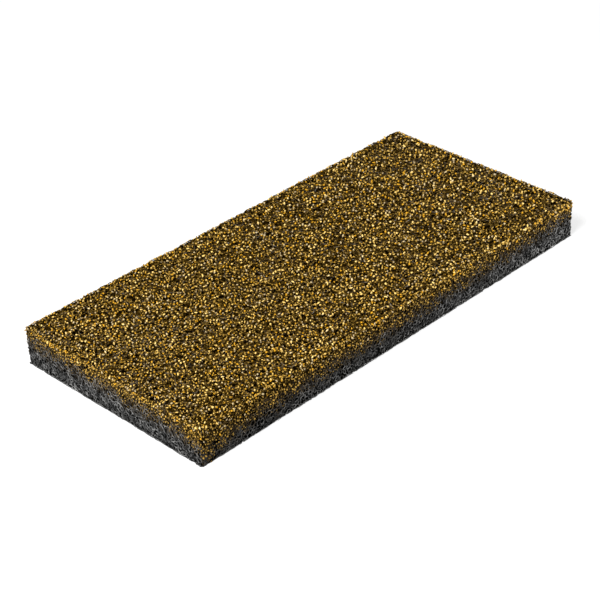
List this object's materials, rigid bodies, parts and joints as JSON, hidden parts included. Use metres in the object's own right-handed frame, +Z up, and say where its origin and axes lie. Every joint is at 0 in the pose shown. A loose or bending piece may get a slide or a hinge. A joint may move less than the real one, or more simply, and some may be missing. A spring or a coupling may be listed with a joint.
{
  "type": "diamond polishing pad",
  "caption": "Rectangular non-woven fibre pad with diamond grit bonded to its face in drops of resin, for polishing stone by hand or on a pad holder",
  "frame": {"origin": "Centre of the pad's uncoated underside, which lies on the plane Z = 0", "axes": "+X along the length, +Y across the width, +Z up out of the gritted face"},
  "size_m": [0.25, 0.117, 0.02],
  "materials": {
    "fibre": "matt charcoal non-woven synthetic fibre",
    "grit": "old-gold cured resin filled with fine diamond grit"
  },
  "bodies": {
    "root": {"pad": "fibre"}
  },
  "joints": []
}
